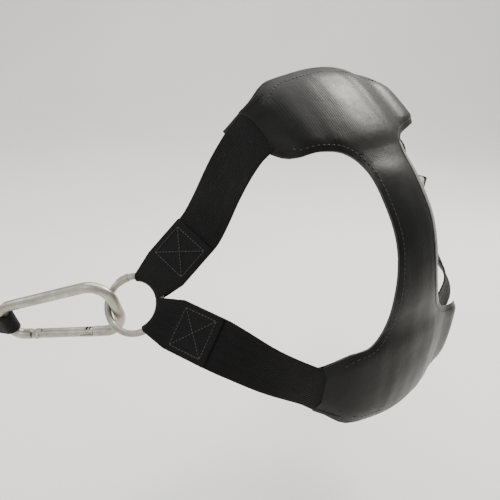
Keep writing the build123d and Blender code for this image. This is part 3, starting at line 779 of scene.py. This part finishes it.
def polyester_webbing(name, dark, light, width):
    """Woven band: chevron ribs across and lengthwise warp cords."""
    material, shader = new_material(name)
    shader.inputs["Specular IOR Level"].default_value = 0.16
    shader.inputs["IOR"].default_value = 1.5
    uv = node(shader, "ShaderNodeUVMap", {"uv_map": "weave"}).outputs["UV"]
    place = node(shader, "ShaderNodeTexCoord").outputs["Object"]
    parts = node(shader, "ShaderNodeSeparateXYZ", Vector=uv)
    cords = node(shader, "ShaderNodeTexWave", {"bands_direction": "Y"}, Vector=uv, Scale=105.0,
                 Distortion=0.3).outputs["Fac"]
    zigzag = node(shader, "ShaderNodeMath", {"operation": "PINGPONG"}, _0=parts.outputs["Y"],
                  _1=0.006).outputs["Value"]
    slant = node(shader, "ShaderNodeMath", {"operation": "ADD"}, _0=zigzag,
                 _1=parts.outputs["X"]).outputs["Value"]
    chevron = node(shader, "ShaderNodeMath", {"operation": "MULTIPLY"}, _0=slant,
                   _1=2 * pi / 0.0030).outputs["Value"]
    ribs = node(shader, "ShaderNodeMath", {"operation": "SINE"}, _0=chevron).outputs["Value"]
    height = node(shader, "ShaderNodeMath", {"operation": "MULTIPLY_ADD"}, _0=ribs, _1=0.4,
                  _2=cords).outputs["Value"]
    fuzz = node(shader, "ShaderNodeTexNoise", Vector=place, Scale=60.0, Detail=6.0,
                Roughness=0.7).outputs["Fac"]
    tone = ramp(shader, fuzz, (0.32, dark), (0.75, light))
    # Painted shade: the base colour is darkened where the weave lies low, in the grooves between ribs
    # and cords.
    painted_groove_shade = ramp(shader, height, (0.0, "#9a9a98"), (0.8, "#ffffff"))
    tone_with_painted_shade = node(shader, "ShaderNodeMix", {"data_type": "RGBA", "blend_type": "MULTIPLY"})
    tone_with_painted_shade.inputs[0].default_value = 0.8
    shader.id_data.links.new(tone, tone_with_painted_shade.inputs[6])
    shader.id_data.links.new(painted_groove_shade, tone_with_painted_shade.inputs[7])
    wire_to(shader, "Base Color", tone_with_painted_shade.outputs[2])
    gloss = node(shader, "ShaderNodeMapRange", Value=fuzz, From_Min=0.3, From_Max=0.7,
                 To_Min=0.50, To_Max=0.68).outputs["Result"]
    wire_to(shader, "Roughness", gloss)
    bump = node(shader, "ShaderNodeBump", Strength=0.55, Distance=0.0006, Height=height)
    wire_to(shader, "Normal", bump.outputs["Normal"])
    return material


webbing_cloth = polyester_webbing("polyester_webbing", "#050505", "#0c0c0b", webbing_width)
columns = spread(13)
for half, label in ((0, "upper"), (1, "lower")):
    inside = [sleeve_row(webbing_exit * w, 1 - 2 * half, columns) for w in spread(41)]
    rows = arm(sides[0], half, columns) + inside + arm(sides[1], half, columns)[::-1]
    webbing = ribbon(f"{label}_band", rows, webbing_thickness)
    webbing.data.materials.append(webbing_cloth)
    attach(webbing, "harness")
    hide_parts(f"{label}_webbing")

# ---------------------------------------------------------------- loop stitching
# A box with a cross of heavy thread closes each loop, through both layers of the webbing.
box_length, box_width, box_margin = 0.040, 0.046, 0.008
heavy_pitch = 0.0042
heavy_stitch = one_stitch("heavy_stitch", 0.0034, 0.0012)


def box_and_cross(length, width):
    """Middles and ways of the stitches of a sewn box with its diagonals."""
    a, b = length / 2, width / 2
    corners = [(-a, -b), (a, -b), (a, b), (-a, b)]
    runs = list(zip(corners, corners[1:] + corners[:1]))
    runs += [(corners[0], corners[2]), (corners[1], corners[3])]
    placed = []
    for start, end in runs:
        start, end = Vector(start), Vector(end)
        count = round((end - start).length / heavy_pitch)
        way = (end - start).normalized()
        placed += [(start.lerp(end, (k + 0.5) / count), way) for k in range(count)]
    return placed


for side in sides:
    for half, label in ((0, "upper"), (1, "lower")):
        lead = side.in_ring(side.strap_angles[half])
        wide = side.ring_inward.cross(lead)
        middle = side.ring + lead * (fold_back - box_margin - box_length / 2)
        surface = between_layers + webbing_thickness / 2 + 0.0001
        stitches = []
        for face in (-1, 1):
            normal = side.ring_inward * face
            for spot, way in box_and_cross(box_length, box_width):
                place = middle + lead * spot.x + wide * spot.y + normal * surface
                stitches.append((place, lead * way.x + wide * way.y, normal))
        thread = sewn(f"{side.name}_{label}_box_stitching", stitches, heavy_stitch)
        thread.data.materials.append(seam_thread)
        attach(thread, "harness")
        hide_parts(f"{side.name}_{label}_loop_stitches")


# ---------------------------------------------------------------- rings and hooks
# Bent and welded steel wire, electroplated with zinc: a warm grey, satin metal with faint
# clouding, small pits and brighter rubbed places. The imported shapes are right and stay.
def zinc_plate(name, dark, light, roughness, scale):
    """Satin zinc over drawn wire."""
    material, shader = new_material(name)
    shader.inputs["Metallic"].default_value = 1.0
    place = node(shader, "ShaderNodeTexCoord").outputs["Object"]
    cloud = node(shader, "ShaderNodeTexNoise", Vector=place, Scale=scale, Detail=6.0,
                 Roughness=0.65).outputs["Fac"]
    pits = node(shader, "ShaderNodeTexNoise", Vector=place, Scale=scale * 9, Detail=4.0,
                Roughness=0.8).outputs["Fac"]
    wire_to(shader, "Base Color", ramp(shader, cloud, (0.3, dark), (0.7, light)))
    gloss = node(shader, "ShaderNodeMapRange", Value=cloud, From_Min=0.3, From_Max=0.7,
                 To_Min=roughness + 0.12, To_Max=roughness - 0.05).outputs["Result"]
    wire_to(shader, "Roughness", gloss)
    bump = node(shader, "ShaderNodeBump", Strength=0.35, Distance=0.0003, Height=pits)
    wire_to(shader, "Normal", bump.outputs["Normal"])
    return material


hook_zinc = zinc_plate("zinc_plated_hook_wire", "#8f8b82", "#c2beb3", 0.34, 60.0)
ring_zinc = zinc_plate("zinc_plated_ring_wire", "#85827b", "#b9b5ab", 0.38, 80.0)
spring_wire = zinc_plate("drawn_spring_wire", "#9a9a98", "#cfcfcc", 0.25, 200.0)
finishes = {"ring": ring_zinc, "hook_body": hook_zinc, "gate_rivet": hook_zinc,
            "hook_gate": hook_zinc, "latch_pin": spring_wire, "gate_spring": spring_wire,
            "gate_plunger": spring_wire}
for side in sides:
    for part, finish in finishes.items():
        shown = frame["nodes"][f"{side.name}_{part}"]
        shown.data.materials.clear()
        shown.data.materials.append(finish)

# ---------------------------------------------------------------- lashing slings
# Narrow webbing, looped round the foot of each hook and sewn, with an open eye at its other end
# for the next lashing.
sling_width, sling_web, sling_length, sling_eye = 0.025, 0.0016, 0.096, 0.020
sling_throat, bow_hole = 0.027, 0.0087
sling_cloth = polyester_webbing("narrow_polyester_webbing", "#070706", "#10100e", sling_width)
sling_box_length, sling_box_width = 0.034, 0.018
sling_stitch = one_stitch("sling_stitch", 0.0032, 0.0010)


def sling_line():
    """Side view of the sling's middle, as a closed line: along the pull, and off it."""
    layer = sling_web / 2 + layer_gap / 2
    line = []
    for centre, radius, throat, first in ((0.0, bow_hole + sling_web / 2, sling_throat, 1),
                                          (sling_length, (sling_eye + sling_web) / 2,
                                           sling_length - sling_throat, -1)):
        way = 1 if throat > centre else -1
        lean = asin((radius - layer) / abs(throat - centre))
        start = Vector((sling_length / 2, layer * first))
        line += [start, Vector((throat, layer * first))]
        opening = pi / 2 - lean
        for k in range(25):
            turn = opening + (2 * pi - 2 * opening) * k / 24
            line.append(Vector((centre + way * radius * cos(turn), first * radius * sin(turn))))
        line.append(Vector((throat, -layer * first)))
    return evenly(line + [line[0]], 0.0015)[:-1]


for side in sides:
    swing = joints[f"{side.name}_sling_swing"]
    bow, hook_top = Vector(swing["pos_m"]), Vector(swing["axis"]).normalized()
    off = hook_top.cross(side.pull)
    rows = []
    for point in sling_line():
        centre = bow + side.pull * point.x + off * point.y
        rows.append([centre + hook_top * (w * sling_width / 2) for w in spread(7)])
    sling = ribbon(f"{side.name}_sling_band", rows, sling_web, closed=True)
    sling.data.materials.append(sling_cloth)
    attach(sling, f"{side.name}_sling")
    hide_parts(f"{side.name}_lashing_sling")
    middle = bow + side.pull * (sling_length / 2)
    stitches = []
    for face in (-1, 1):
        normal = off * face
        for spot, way in box_and_cross(sling_box_length, sling_box_width):
            place = middle + side.pull * spot.x + hook_top * spot.y
            place += normal * (sling_web + layer_gap / 2 + 0.0001)
            stitches.append((place, side.pull * way.x + hook_top * way.y, normal))
    thread = sewn(f"{side.name}_sling_stitching", stitches, sling_stitch)
    thread.data.materials.append(seam_thread)
    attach(thread, f"{side.name}_sling")
    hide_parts(f"{side.name}_sling_stitches")
